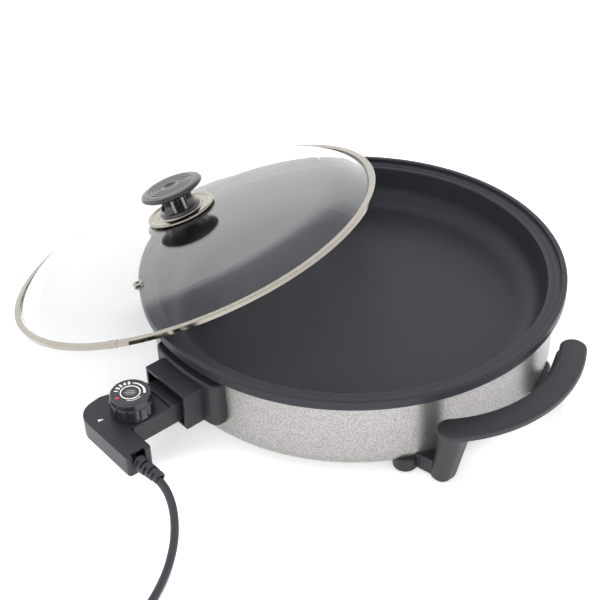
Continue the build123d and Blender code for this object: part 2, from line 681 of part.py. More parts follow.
# ---------------------------------------------------------------- thermostat probe
def probe_outline():
    """L-shaped plan: a neck to the socket, a hub under the dial and an arm to the cord."""
    points = [
        (NECK_HALF, NOSE_Y), (NECK_HALF, ARM_INNER_Y), (ARM_END_X, ARM_INNER_Y),
        (ARM_END_X, ARM_OUTER_Y), (HUB_LEFT_X + 4, ARM_OUTER_Y), (HUB_LEFT_X, -266.0),
        (HUB_LEFT_X + 3, -256.0), (-NECK_HALF, -238.0), (-NECK_HALF, NOSE_Y),
    ]
    return outline(points, {0: 1.5, 1: 3.0, 2: 3.5, 3: 3.5, 4: 19.0, 5: 8.0, 6: 10.0, 7: 4.0, 8: 1.5})


def probe_body():
    """The closed probe body before it is split, with its cavity and openings."""
    height = PROBE_TOP_Z - PROBE_BOTTOM_Z
    outer = extrude(Pos(0, 0, PROBE_BOTTOM_Z) * probe_outline(), height).solid()
    outer = outer.fillet(1.4, outer.faces().sort_by(Axis.Z)[-1].edges())
    outer = outer.fillet(1.4, outer.faces().sort_by(Axis.Z)[0].edges())
    hatch = block((-NECK_HALF, -6.0), (-244.0, -231.0), (PROBE_TOP_Z - 2, PROBE_TOP_Z + 6.0))
    hatch = hatch.fillet(1.5, hatch.edges().filter_by(Axis.Z) + hatch.edges().group_by(Axis.Z)[-1])
    hatch -= rod(DIAL_FOOT_R + 1.0, (*DIAL_XY, PROBE_TOP_Z - 3), (*DIAL_XY, PROBE_TOP_Z + 9))
    collar = block((-NECK_HALF, NECK_HALF), (-229.0, -225.5), (PROBE_TOP_Z - 2, PROBE_TOP_Z + 1.8))
    collar = collar.fillet(0.6, collar.edges().group_by(Axis.Z)[-1])
    seat = rod(DIAL_FOOT_R + 1.2, (*DIAL_XY, PROBE_TOP_Z - 2), (*DIAL_XY, PROBE_TOP_Z + 0.3))
    outer = outer + hatch + collar + seat
    inner = offset(probe_outline(), -PROBE_WALL, kind=Kind.INTERSECTION)
    cavity_low = PROBE_BOTTOM_Z + PROBE_WALL
    cavity = extrude(Pos(0, 0, cavity_low) * inner, PROBE_TOP_Z - PROBE_WALL - cavity_low)
    outer -= cavity
    for x in (-PIN_X, PIN_X):
        outer -= rod(3.0, (x, NOSE_Y + 1, CONTACT_Z), (x, NOSE_Y - 4, CONTACT_Z))
    outer -= rod(ROD_R, (0, NOSE_Y + 1, CONTACT_Z), (0, ROD_ROOT_Y, CONTACT_Z))
    for x in (-PIN_X, PIN_X):
        front = NOSE_Y - PROBE_WALL
        outer -= rod(CONTACT_R + 0.05, (x, front, CONTACT_Z), (x, front - 26.2, CONTACT_Z))
    outer -= block((-6.5, 6.5), (NOSE_Y - 4, NOSE_Y + 1), (52.6, PROBE_TOP_Z - PROBE_WALL))
    outer -= rod(4.1, (*DIAL_XY, PROBE_TOP_Z - 6), (*DIAL_XY, PROBE_TOP_Z + 3))
    collar_r = 6.4
    centre = (ARM_END_X - 6, RELIEF_START[1], RELIEF_START[2])
    outer -= rod(collar_r, centre, (ARM_END_X + 3, RELIEF_START[1], RELIEF_START[2]))
    notch_y = (RELIEF_START[1] - collar_r, RELIEF_START[1] + collar_r)
    outer -= block((ARM_END_X - 4.2, ARM_END_X + 1), notch_y, (RELIEF_START[2], PROBE_TOP_Z + 1))
    corner = (NECK_HALF, ARM_INNER_Y)
    outer -= rod(1.3, (*corner, PROBE_BOTTOM_Z - 1), (*corner, PROBE_TOP_Z + 1))
    return outer.solid()


def probe_shells():
    """Lower and upper halves of the body, with screw posts inside."""
    body = probe_body()
    span = ((-90, 90), (-320, -180))
    lower = body & block(*span, (0, PROBE_SPLIT_Z))
    upper = body & block(*span, (PROBE_SPLIT_Z, 120))
    low = PROBE_BOTTOM_Z + 0.6
    high = PROBE_TOP_Z - 1.0
    for x, y in PROBE_SCREW_XY:
        lower += rod(3.2, (x, y, low), (x, y, PROBE_SPLIT_Z))
        lower -= rod(1.5, (x, y, PROBE_BOTTOM_Z - 1), (x, y, PROBE_SPLIT_Z + 1))
        lower -= rod(2.8, (x, y, PROBE_BOTTOM_Z - 1), (x, y, PROBE_BOTTOM_Z + 3))
        upper += rod(3.2, (x, y, PROBE_SPLIT_Z), (x, y, high))
        upper -= rod(1.2, (x, y, PROBE_SPLIT_Z - 1), (x, y, high - 2))
    return lower.solid(), upper.solid()


def probe_screws():
    """Screws that close the probe body from below."""
    return group([
        screw(1.15, 2.6, 1.8, (x, y, PROBE_BOTTOM_Z + 1.2), (x, y, PROBE_TOP_Z - 4.0))
        for x, y in PROBE_SCREW_XY])


def sensor_rod():
    """Steel rod that reaches under the pan floor, with a rounded tip."""
    stem = rod(ROD_R, (0, ROD_ROOT_Y, CONTACT_Z), (0, ROD_TIP_Y, CONTACT_Z))
    return stem.fillet(2.0, [stem.edges().filter_by(GeomType.CIRCLE).sort_by(Axis.Y)[-1]])


def female_contacts():
    """Tubular contacts that slide over the pins."""
    front = NOSE_Y - PROBE_WALL
    return group([
        tube(CONTACT_R, PIN_R + 0.08, (x, front, CONTACT_Z), (x, front - 26.0, CONTACT_Z))
        for x in (-PIN_X, PIN_X)])


def thermostat_base():
    """Ceramic block that carries the switch, above the tubular contacts."""
    base = block((-16.5, 16.5), (-232.0, -217.0), (46.4, 50.0))
    foot = block((-7.5, 7.5), (-232.0, -217.0), (39.8, 47.0))
    base = base + foot
    base -= rod(ROD_R, (0, ROD_ROOT_Y - 1e-3, CONTACT_Z), (0, -210.0, CONTACT_Z))
    return base.solid()


def switch_blades():
    """Spring blades with contact buttons, one above the other."""
    lower = block((-12.0, -7.0), (-250.0, -219.0), (50.0, 50.4))
    upper = block((-12.0, -7.0), (-250.0, -219.0), (51.6, 52.0))
    lower += rod(1.6, (-9.5, -247.0, 50.2), (-9.5, -247.0, 51.0))
    upper += rod(1.6, (-9.5, -247.0, 51.0), (-9.5, -247.0, 51.8))
    return group([lower - rod(1.6, (-9.5, -247.0, 51.0), (-9.5, -247.0, 51.3)), upper])


def bimetal_strip():
    """Strip that bends as the rod warms and opens the blades."""
    strip = block((7.0, 13.0), (-250.0, -219.0), (50.0, 50.9))
    return strip.fillet(1.0, strip.edges().filter_by(Axis.Z))


def dial_shaft():
    """Cam shaft from the dial down to the switch."""
    x, y = DIAL_XY
    shaft = rod(4.0, (x, y, 52.4), (x, y, DIAL_Z[0] + 8.0))
    cam = Pos(x + 1.0, y, 51.4) * Cylinder(5.5, 2.0)
    flat = block((x + 2.6, x + 6.0), (y - 6, y + 6), (DIAL_Z[0], DIAL_Z[0] + 10.0))
    return (shaft + cam - flat).solid()


def dial_knob():
    """Cup-shaped dial with fluted sides."""
    x, y = DIAL_XY
    low, high = DIAL_Z
    dial = turned([
        (0, low), (DIAL_FOOT_R, low), (DIAL_FOOT_R, high - 7.0), (DIAL_R, high - 6.0),
        (DIAL_R, high - 1.2), (DIAL_R - 0.9, high), (0, high)], {1: 0.8, 2: 0.6, 4: 0.5, 5: 0.5})
    for number in range(DIAL_FLUTES):
        angle = 360.0 * (number + 0.5) / DIAL_FLUTES
        start = around(DIAL_FOOT_R + 2.6, angle, low + 1.5)
        end = around(DIAL_FOOT_R + 2.6, angle, high - 6.4)
        dial -= rod(3.4, start, end)
    dial -= turned([(0, low - 1), (14.2, low - 1), (14.6, low + 12.0), (0, low + 12.0)])
    dial += turned([(0, low), (6.6, low), (6.6, low + 13.0), (0, low + 13.0)])
    dial -= rod(4.05, (0, 0, low - 1), (0, 0, low + 8.2))
    key = block((2.65, 6.0), (-6, 6), (low, low + 8.2)) & rod(4.6, (0, 0, low), (0, 0, low + 8.2))
    dial += key
    well_r = DIAL_DISC_R + 0.1
    dial -= turned([(0, high - 0.8), (well_r, high - 0.8), (well_r, high + 1), (0, high + 1)])
    return (Pos(x, y, 0) * dial).solid()


def dial_disc():
    """Thin printed scale set into the top of the dial."""
    x, y = DIAL_XY
    high = DIAL_Z[1]
    return rod(DIAL_DISC_R, (x, y, high - 0.8), (x, y, high - 0.2))


def cord_clamp():
    """Bar that grips the cord inside the arm."""
    x = ARM_END_X - 14.0
    bar = block((x - 3, x + 3), (-288.5, -273.5), (39.8, 44.2))
    bar -= rod(CORD_D / 2 + 0.05, (x - 5, RELIEF_START[1], 47.0), (x + 5, RELIEF_START[1], 47.0))
    return bar.solid()


def cord_jacket_end():
    """End of the cord's jacket inside the arm, held by the clamp."""
    y, z = RELIEF_START[1:]
    return rod(CORD_D / 2, (ARM_END_X - 19.0, y, z), (RELIEF_START[0] - 0.6, y, z))


def inner_leads():
    """Two insulated cores from the end of the jacket to the tubular contacts."""
    z = RELIEF_START[2]
    start_x = ARM_END_X - 19.0
    end_y = NOSE_Y - PROBE_WALL - 26.0
    routes = (
        [(start_x, -282.6, z), (6.0, -282.6, z), (9.0, -240.0, CONTACT_Z), (PIN_X, end_y, CONTACT_Z)],
        [(start_x, -279.4, z), (-6.0, -279.4, z), (-14.0, -260.0, 44.0), (-PIN_X, end_y, CONTACT_Z)],
    )
    cores = []
    for route in routes:
        path = FilletPolyline(*route, radius=5.0)
        cores.append(sweep(Plane(origin=path @ 0, z_dir=path % 0) * Circle(1.2), path))
    return group(cores)


# ---------------------------------------------------------------- cord
def relief_shape(low_r, ring_r, start, end):
    """Ribbed sleeve between two points, round a bore for the cord."""
    axis = Vector(*end) - Vector(*start)
    length = axis.length
    pitch = length / RELIEF_RINGS
    points = [(CORD_D / 2, 0.0)]
    for number in range(RELIEF_RINGS):
        taper = 1.0 - 0.28 * number / (RELIEF_RINGS - 1)
        base = number * pitch
        wide = CORD_D / 2 + (ring_r - CORD_D / 2) * taper
        slim = CORD_D / 2 + (low_r - CORD_D / 2) * taper
        points += [(wide, base), (wide, base + 0.62 * pitch), (slim, base + 0.62 * pitch)]
        points += [(slim, base + pitch)]
    points += [(CORD_D / 2, length)]
    sleeve = turned(points)
    return Plane(origin=start, z_dir=axis).location * sleeve


def cord_route():
    """Hand-chosen points of the cord from the probe to the coil, on the cord's centre line."""
    floor = CORD_D / 2
    return [
        RELIEF_START, RELIEF_END,
        (93.0, -281.6, 35.5), (109.5, -293.0, 19.0), (121.0, -309.0, floor + 2.5),
        (134.0, -329.0, floor), (148.0, -353.0, floor), COIL_TOUCH,
    ]


def coil_point(degrees, radius, z):
    """Point on a turn of the coil."""
    angle = math.radians(degrees)
    return (
        COIL_CENTRE[0] + radius * math.cos(angle),
        COIL_CENTRE[1] + radius * math.sin(angle),
        z,
    )


COIL_TOUCH = coil_point(COIL_ENTRY_DEG, COIL_R + 3.5, CORD_D / 2 + COIL_LIFT)


def tail_route():
    """Points from the top of the coil to the plug."""
    start = coil_point(TAIL_DEG, COIL_R + 3.5, COIL_LIFT + COIL_SECTION - CORD_D / 2)
    x, y, z = start
    return [start, (x + 20, y, z + 1.0), (x + 42, y, PLUG_AXIS_Z - 0.6), (x + 62, y, PLUG_AXIS_Z)]


def corner_radii(points):
    """The largest arc at each corner that uses 0.45 of the shorter run beside it."""
    radii = []
    for before, corner, after in zip(points, points[1:], points[2:]):
        first = Vector(*corner) - Vector(*before)
        second = Vector(*after) - Vector(*corner)
        half_turn = math.radians(first.get_angle(second)) / 2
        radii.append(0.45 * min(first.length, second.length) / math.tan(half_turn))
    return radii


def cord_tube(points, name):
    """Tube of straight runs joined by arcs."""
    radii = corner_radii(points)
    path = FilletPolyline(*points, radius=radii)
    solid = sweep(Plane(origin=path @ 0, z_dir=path % 0) * Circle(CORD_D / 2), path).solid()
    expected = math.pi * (CORD_D / 2) ** 2 * path.length
    print(name, "radii", [round(radius, 1) for radius in radii],
          "length", round(path.length, 1), "volume ratio", round(solid.volume / expected, 4))
    return solid


def cord_coil():
    """Closed ring of the outer shape of the wound cord."""
    half = COIL_SECTION / 2
    low = COIL_LIFT
    high = COIL_LIFT + COIL_SECTION
    ring = turned([
        (COIL_R - half, low), (COIL_R + half, low), (COIL_R + half, high), (COIL_R - half, high)],
        {0: 3.0, 1: 3.0, 2: 3.0, 3: 3.0})
    return Pos(*COIL_CENTRE, 0) * ring


def cord_tie():
    """Strap round the coil."""
    half = COIL_SECTION / 2 + 0.35
    strap_t = 0.9
    centre_z = COIL_LIFT + COIL_SECTION / 2
    outer = Pos(0, 0, centre_z) * Solid.make_box(
        2 * (half + strap_t), 9, 2 * (half + strap_t),
        Plane(origin=(-half - strap_t, -4.5, -half - strap_t)))
    outer = outer.fillet(2.5, outer.edges().filter_by(Axis.Y))
    inner = Pos(0, 0, centre_z) * Solid.make_box(
        2 * half, 11, 2 * half, Plane(origin=(-half, -5.5, -half)))
    inner = inner.fillet(2.0, inner.edges().filter_by(Axis.Y))
    strap = (outer - inner).solid()
    return Pos(*COIL_CENTRE, 0) * Rot(0, 0, 20) * Pos(COIL_R, 0, 0) * strap


def plug_frame():
    """Frame at the cord end of the plug: its Z points to the pins."""
    x, y, z = tail_route()[-1]
    return Plane(origin=(x, y, z), x_dir=(0, 1, 0), z_dir=(1, 0, 0)).location


def plug_body():
    """Moulded mains plug lying on its side, with a ribbed tail for the cord."""
    body = turned([
        (CORD_D / 2, 0), (6.2, 0), (7.4, 14.0), (13.0, 18.0), (16.5, 24.0), (PLUG_R, 30.0),
        (PLUG_R, PLUG_LENGTH), (0, PLUG_LENGTH), (0, 12.0), (CORD_D / 2, 12.0)],
        {2: 3.0, 3: 3.0, 4: 4.0, 5: 3.0, 6: 1.0})
    for ring_z in (3.0, 6.5, 10.0):
        body -= turned([(5.2, ring_z), (9.0, ring_z), (9.0, ring_z + 1.6), (5.2, ring_z + 1.6)])
    for side in (-1, 1):
        pin_x = side * PLUG_PIN_OFFSET
        body -= rod(PLUG_PIN_ROOT_R, (pin_x, 0, PLUG_LENGTH - 12), (pin_x, 0, PLUG_LENGTH + 1))
        body -= block((-3.0, 3.0), (side * PLUG_R - 1.4, side * PLUG_R + 1.4), (33, 49))
    return plug_frame() * body.solid()


def plug_pins():
    """Two round pins."""
    pins = []
    for side in (-1, 1):
        pin_x = side * PLUG_PIN_OFFSET
        shoulder = PLUG_LENGTH + 0.3
        pin = rod(PLUG_PIN_R, (pin_x, 0, shoulder), (pin_x, 0, PLUG_PIN_TIP))
        pin = pin.fillet(1.6, [pin.edges().filter_by(GeomType.CIRCLE).sort_by(Axis.Z)[-1]])
        pin += rod(PLUG_PIN_ROOT_R, (pin_x, 0, PLUG_LENGTH - 12), (pin_x, 0, shoulder))
        pins.append(plug_frame() * pin)
    return group(pins)


def plug_earth_strips():
    """Side earth contacts let into the plug's edge."""
    strips = []
    for side in (-1, 1):
        x_low, x_high = sorted((side * (PLUG_R - 1.4), side * (PLUG_R - 0.5)))
        strips.append(plug_frame() * block((-2.8, 2.8), (x_low, x_high), (33, 48)))
    return group(strips)


# ---------------------------------------------------------------- write every node
def main():
    save("cooking_pan", cooking_pan())
    save("outer_housing", outer_housing())
    save("heating_element", heating_element())
    save("contact_pins", contact_pins())
    save("pin_bushes", pin_bushes())
    save("element_clamps", element_clamps())
    save("clamp_screws", clamp_screws())
    save("sensor_guide", sensor_guide())
    save("heat_reflector", heat_reflector())
    save("lower_spacers", spacers(HOUSING_BOTTOM_Z + HOUSING_SHEET, REFLECTOR_Z))
    save("upper_spacers", spacers(REFLECTOR_Z + REFLECTOR_SHEET, BOSS_UNDER_Z))
    save("body_screws", body_screws())

    save("socket_housing", socket_housing())
    save("terminal_plate", terminal_plate())
    save("socket_screws", socket_screws())
    save("earth_tongue", earth_tongue())

    right = right_handle()
    save("right_handle", right)
    save("left_handle", Rot(0, 0, 180) * right)
    save("handle_screws", handle_screws())
    save("nut_plates", nut_plates())

    save("lid_glass", LID * lid_glass())
    save("lid_band", LID * lid_band())
    save("steam_vent", LID * steam_vent())
    save("knob_washer", LID * knob_washer())
    save("knob_stem", LID * knob_stem())
    save("knob_cap", LID * knob_cap())
    save("knob_insert", LID * knob_insert())
    save("knob_seal", LID * knob_seal())
    save("knob_screw", LID * knob_screw())

    lower, upper = probe_shells()
    save("probe_lower_shell", lower)
    save("probe_upper_shell", upper)
    save("probe_screws", probe_screws())
    save("sensor_rod", sensor_rod())
    save("female_contacts", female_contacts())
    save("thermostat_base", thermostat_base())
    save("switch_blades", switch_blades())
    save("bimetal_strip", bimetal_strip())
    save("dial_shaft", dial_shaft())
    save("dial_knob", dial_knob())
    save("dial_disc", dial_disc())
    save("cord_clamp", cord_clamp())
    save("cord_jacket_end", cord_jacket_end())
    save("inner_leads", inner_leads())

    save("strain_relief", relief_shape(4.4, 5.6, RELIEF_START, RELIEF_END))
    save("power_cord", cord_tube(cord_route(), "power_cord"))
    save("cord_coil", cord_coil())
    save("cord_tail", cord_tube(tail_route(), "cord_tail"))
    save("cord_tie", cord_tie())
    save("plug_body", plug_body())
    save("plug_pins", plug_pins())
    save("plug_earth_strips", plug_earth_strips())


main()
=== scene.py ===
import json
import math

import bmesh
import bpy
from mathutils import Matrix, Vector


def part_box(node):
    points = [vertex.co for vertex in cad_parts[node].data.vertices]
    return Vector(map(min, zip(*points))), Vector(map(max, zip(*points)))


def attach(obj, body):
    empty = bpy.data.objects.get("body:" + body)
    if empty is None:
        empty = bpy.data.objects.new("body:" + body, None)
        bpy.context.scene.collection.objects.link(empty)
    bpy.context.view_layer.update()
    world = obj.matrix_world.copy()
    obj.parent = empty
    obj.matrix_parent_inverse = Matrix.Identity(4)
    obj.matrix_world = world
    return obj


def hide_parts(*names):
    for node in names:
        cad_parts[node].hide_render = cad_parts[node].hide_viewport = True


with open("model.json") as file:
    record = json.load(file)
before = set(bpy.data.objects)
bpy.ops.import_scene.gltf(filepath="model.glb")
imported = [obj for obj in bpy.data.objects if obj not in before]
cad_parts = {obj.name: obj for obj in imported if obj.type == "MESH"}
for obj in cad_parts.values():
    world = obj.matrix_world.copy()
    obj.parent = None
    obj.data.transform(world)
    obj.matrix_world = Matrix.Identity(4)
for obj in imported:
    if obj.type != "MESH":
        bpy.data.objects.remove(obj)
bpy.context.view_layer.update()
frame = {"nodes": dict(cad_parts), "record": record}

MM = 0.001
TURN = 2 * math.pi


def mm(*values):
    """A point or size given in millimetres, in metres."""
    return Vector([value * MM for value in values])


# ---------------------------------------------------------------- camera
CAMERA_PLACE = mm(683.7, -632.7, 736.4)
CAMERA_AZIMUTH = math.radians(50.3)
CAMERA_ELEVATION = math.radians(36.51)
CAMERA_ROLL = math.radians(-1.92)
CAMERA_LENS = 72.0
CAMERA_SENSOR = 36.0


def make_camera():
    """The camera that looks down at the pan from beyond the right-hand grip."""
    ca, sa = math.cos(CAMERA_AZIMUTH), math.sin(CAMERA_AZIMUTH)
    ce, se = math.cos(CAMERA_ELEVATION), math.sin(CAMERA_ELEVATION)
    cr, sr = math.cos(CAMERA_ROLL), math.sin(CAMERA_ROLL)
    back = Vector((sa * ce, -ca * ce, se))
    level_right = Vector((ca, sa, 0))
    level_up = Vector((-sa * se, ca * se, ce))
    right = cr * level_right + sr * level_up
    up = cr * level_up - sr * level_right
    data = bpy.data.cameras.new("camera")
    data.lens = CAMERA_LENS
    data.sensor_width = CAMERA_SENSOR
    camera = bpy.data.objects.new("camera", data)
    bpy.context.scene.collection.objects.link(camera)
    turn = Matrix((right, up, back)).transposed().to_4x4()
    camera.matrix_world = Matrix.Translation(CAMERA_PLACE) @ turn
    bpy.context.scene.camera = camera


# ---------------------------------------------------------------- shader helpers
def principled(name, colour, roughness, metallic=0.0, **plain):
    """A new material; plain sets sockets that are the same all over the surface."""
    made = bpy.data.materials.new(name)
    made.use_nodes = True
    shader = made.node_tree.nodes["Principled BSDF"]
    shader.inputs["Base Color"].default_value = (*colour, 1)
    shader.inputs["Roughness"].default_value = roughness
    shader.inputs["Metallic"].default_value = metallic
    for socket, value in plain.items():
        shader.inputs[socket.replace("_", " ")].default_value = value
    made.diffuse_color = (*colour, 1)
    return made


def shader_of(made):
    """The material's one surface shader."""
    return made.node_tree.nodes["Principled BSDF"]


def place(made):
    """The point on the piece, in metres, for textures that keep their real scale."""
    nodes = made.node_tree.nodes
    found = nodes.get("place")
    if found is None:
        found = nodes.new("ShaderNodeTexCoord")
        found.name = "place"
    return found.outputs["Object"]


def stretched(made, scale):
    """The point on the piece with each axis scaled, for drawn or brushed marks."""
    mapping = made.node_tree.nodes.new("ShaderNodeMapping")
    mapping.inputs["Scale"].default_value = scale
    made.node_tree.links.new(place(made), mapping.inputs["Vector"])
    return mapping.outputs["Vector"]


def noise(made, scale, detail=3.0, roughness=0.5, vector=None):
    """Noise with features of about 1 / scale metres."""
    texture = made.node_tree.nodes.new("ShaderNodeTexNoise")
    texture.inputs["Scale"].default_value = scale
    texture.inputs["Detail"].default_value = detail
    texture.inputs["Roughness"].default_value = roughness
    made.node_tree.links.new(vector or place(made), texture.inputs["Vector"])
    return texture.outputs["Fac"]


def between(made, factor, low, high, start=0.3, end=0.7):
    """A value from low to high as factor goes from start to end."""
    node = made.node_tree.nodes.new("ShaderNodeMapRange")
    for socket, value in zip(("From Min", "From Max", "To Min", "To Max"), (start, end, low, high)):
        node.inputs[socket].default_value = value
    made.node_tree.links.new(factor, node.inputs["Value"])
    return node.outputs["Result"]


def ramp(made, factor, *stops):
    """A colour ramp from (position, colour) stops."""
    node = made.node_tree.nodes.new("ShaderNodeValToRGB")
    elements = node.color_ramp.elements
    while len(elements) < len(stops):
        elements.new(0.5)
    for element, (position, colour) in zip(elements, stops):
        element.position = position
        element.color = (*colour, 1)
    made.node_tree.links.new(factor, node.inputs["Fac"])
    return node.outputs["Color"]


def added(made, first, second):
    """The sum of two node outputs."""
    node = made.node_tree.nodes.new("ShaderNodeMath")
    node.operation = "ADD"
    made.node_tree.links.new(first, node.inputs[0])
    made.node_tree.links.new(second, node.inputs[1])
    return node.outputs[0]


def bump(made, height, distance, strength=1.0):
    """Raises the surface by up to distance metres where height is 1."""
    node = made.node_tree.nodes.new("ShaderNodeBump")
    node.inputs["Strength"].default_value = strength
    node.inputs["Distance"].default_value = distance
    made.node_tree.links.new(height, node.inputs["Height"])
    made.node_tree.links.new(node.outputs["Normal"], shader_of(made).inputs["Normal"])


def feed(made, socket, value):
    """Links a node output to one of the surface shader's sockets."""
    made.node_tree.links.new(value, shader_of(made).inputs[socket])


def tinted(colour, share):
    """The colour made lighter or darker by a share."""
    return tuple(min(1.0, part * share) for part in colour)


def finished(made, colour, spread, rough, cloud=9.0, grain=1400.0, grain_height=0.00002):
    """Colour and roughness that drift slowly, and a fine grain in the surface."""
    slow = noise(made, cloud, detail=4.0)
    fine = noise(made, grain, detail=2.0)
    low, high = tinted(colour, 1 - spread), tinted(colour, 1 + spread)
    drift = added(made, between(made, slow, 0.0, 0.6), between(made, fine, 0.0, 0.4))
    feed(made, "Base Color", ramp(made, drift, (0.0, low), (1.0, high)))
    feed(made, "Roughness", between(made, slow, rough[0], rough[1]))
    bump(made, fine, grain_height, 0.6)
    return made


# ---------------------------------------------------------------- materials
def nonstick():
    """Satin black non-stick coating: faint grain, slow changes of sheen."""
    colour = (0.019, 0.019, 0.0245)
    made = principled("nonstick", colour, 0.42, Specular_IOR_Level=0.27)
    return finished(made, colour, 0.14, (0.38, 0.47), cloud=7.0, grain=1700.0, grain_height=0.000025)


def hammertone():
    """Hammered silver paint: pale glossy domes about a millimetre across, darker dimples between."""
    made = principled("hammertone", (0.47, 0.46, 0.44), 0.3, metallic=0.85)
    nodes, links = made.node_tree.nodes, made.node_tree.links
    warp = nodes.new("ShaderNodeTexNoise")
    warp.inputs["Scale"].default_value = 480.0
    warp.inputs["Detail"].default_value = 2.0
    links.new(place(made), warp.inputs["Vector"])
    shifted = nodes.new("ShaderNodeVectorMath")
    shifted.operation = "MULTIPLY_ADD"
    links.new(warp.outputs["Color"], shifted.inputs[0])
    shifted.inputs[1].default_value = (0.0012, 0.0012, 0.0012)
    links.new(place(made), shifted.inputs[2])
    cells = nodes.new("ShaderNodeTexVoronoi")
    cells.feature = "SMOOTH_F1"
    cells.inputs["Scale"].default_value = 760.0
    cells.inputs["Smoothness"].default_value = 0.3
    links.new(shifted.outputs[0], cells.inputs["Vector"])
    fleck = noise(made, 1300.0, detail=3.0)
    pattern = added(made, between(made, cells.outputs["Distance"], 0.0, 0.75, 0.10, 0.60),
                    between(made, fleck, -0.15, 0.25, 0.30, 0.70))
    feed(made, "Base Color", ramp(made, pattern, (0.0, (0.47, 0.46, 0.44)), (0.45, (0.42, 0.41, 0.39)),
                                  (0.8, (0.32, 0.31, 0.295)), (1.0, (0.24, 0.235, 0.225))))
    feed(made, "Roughness", between(made, pattern, 0.24, 0.42, 0.0, 1.0))
    flipped = between(made, cells.outputs["Distance"], 1.0, 0.0, 0.0, 0.7)
    bump(made, flipped, 0.00009, 0.6)
    return made


def moulded(name, colour, rough, grain=2300.0, height=0.00003, **plain):
    """Injection-moulded plastic with a fine spark-eroded grain."""
    made = principled(name, colour, sum(rough) / 2, **plain)
    return finished(made, colour, 0.12, rough, cloud=14.0, grain=grain, grain_height=height)


def metal(name, colour, rough, drawn=(40, 40, 900), height=0.000008):
    """Bare or plated metal with drawn marks and slight smudges."""
    made = principled(name, colour, sum(rough) / 2, metallic=1.0)
    lines = noise(made, 1.0, detail=3.0, vector=stretched(made, drawn))
    smudge = noise(made, 30.0, detail=4.0)
    streaks = added(made, between(made, lines, 0.0, 0.5), between(made, smudge, 0.0, 0.5))
    feed(made, "Base Color", ramp(made, streaks, (0.0, tinted(colour, 0.9)), (1.0, tinted(colour, 1.06))))
    feed(made, "Roughness", between(made, smudge, rough[0], rough[1]))
    bump(made, lines, height, 0.4)
    return made


def clear_glass():
    """Clear toughened glass, very slightly green, with faint wiping marks in its polish."""
    made = principled("clear_glass", (0.985, 0.995, 0.99), 0.0, Transmission_Weight=1.0, IOR=1.52)
    wiping = noise(made, 14.0, detail=3.0)
    feed(made, "Roughness", between(made, wiping, 0.0, 0.03, 0.45, 0.75))
    return made


def printed(name, colour):
    """Slightly uneven screen-printed ink."""
    made = principled(name, colour, 0.45)
    return finished(made, colour, 0.05, (0.4, 0.5), cloud=200.0, grain=3000.0, grain_height=0.000005)


def woven():
    """Woven strap: two crossing sets of threads."""
    made = principled("tie_strap", (0.03, 0.03, 0.032), 0.85, Sheen_Weight=0.3)
    heights = []
    for scale in ((2600, 2600, 300), (300, 300, 2600)):
        wave = made.node_tree.nodes.new("ShaderNodeTexWave")
        wave.inputs["Scale"].default_value = 1.0
        made.node_tree.links.new(stretched(made, scale), wave.inputs["Vector"])
        heights.append(wave.outputs["Fac"])
    weave = added(made, *heights)
    feed(made, "Base Color", ramp(made, weave, (0.0, (0.012, 0.012, 0.013)), (1.0, (0.05, 0.05, 0.053))))
    bump(made, weave, 0.00015, 0.8)
    return made


def scorched():
    """Heater sheath: dull steel with blue-brown heat colours."""
    made = metal("heater_steel", (0.34, 0.33, 0.32), (0.35, 0.5))
    heat = noise(made, 22.0, detail=5.0)
    colour = ramp(made, heat, (0.3, (0.36, 0.34, 0.33)), (0.5, (0.27, 0.22, 0.17)), (0.7, (0.20, 0.21, 0.26)))
    feed(made, "Base Color", colour)
    return made


def make_materials():
    """Every slot's material, by the slot's name."""
    return {
        "nonstick": nonstick(),
        "hammertone": hammertone(),
        "heater_steel": scorched(),
        "ceramic": moulded("ceramic", (0.72, 0.69, 0.62), (0.6, 0.8), grain=1500.0),
        "zinc_steel": metal("zinc_steel", (0.62, 0.62, 0.60), (0.25, 0.4)),
        "aluminium_sheet": metal("aluminium_sheet", (0.74, 0.74, 0.75), (0.3, 0.45), drawn=(60, 1500, 60)),
        "black_plastic": moulded("black_plastic", (0.015, 0.015, 0.018), (0.36, 0.48),
                                 Specular_IOR_Level=0.42),
        "bakelite": moulded("bakelite", (0.014, 0.014, 0.016), (0.16, 0.24), grain=900.0,
                            height=0.000004, Coat_Weight=0.25, Coat_Roughness=0.08),
        "clear_glass": clear_glass(),
        # The polished steel's base colour is darkened and warmed to stand in for the dark pan and brown
        # surroundings that the steel mirrors: a painted reflection.
        "polished_steel": metal("polished_steel", (0.32, 0.295, 0.25), (0.04, 0.09), height=0.000003),
        "brass": metal("brass", (0.72, 0.53, 0.25), (0.25, 0.4)),
        "soft_seal": moulded("soft_seal", (0.66, 0.66, 0.64), (0.55, 0.7)),
        "printed_scale": moulded("printed_scale", (0.02, 0.02, 0.023), (0.28, 0.36), height=0.000006),
        "cord_rubber": moulded("cord_rubber", (0.022, 0.0225, 0.027), (0.45, 0.58), grain=1500.0,
                               height=0.00002),
        "tie_strap": woven(),
        "nickel": metal("nickel", (0.78, 0.75, 0.68), (0.12, 0.22)),
    }


def dress_nodes(materials):
    """Gives every CAD node the material of its slot in the record."""
    for part in frame["record"]["subparts"]:
        node = frame["nodes"][part["node"]]
        node.data.materials.clear()
        node.data.materials.append(materials[part["material_slot"]])


# ---------------------------------------------------------------- mesh helpers
def new_piece(name, mesh, material, body):
    """Links a finished mesh or curve as a piece that rides on a body."""
    piece = bpy.data.objects.new(name, mesh)
    bpy.context.scene.collection.objects.link(piece)
    mesh.materials.append(material)
    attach(piece, body)
    return piece


def mesh_from(shape, name, smooth_below=40.0):
    """Turns a bmesh into a mesh, smooth except over edges sharper than smooth_below degrees."""
    bmesh.ops.recalc_face_normals(shape, faces=shape.faces)
    mesh = bpy.data.meshes.new(name)
    shape.to_mesh(mesh)
    shape.free()
    mesh.shade_smooth()
    mesh.set_sharp_from_angle(angle=math.radians(smooth_below))
    return mesh


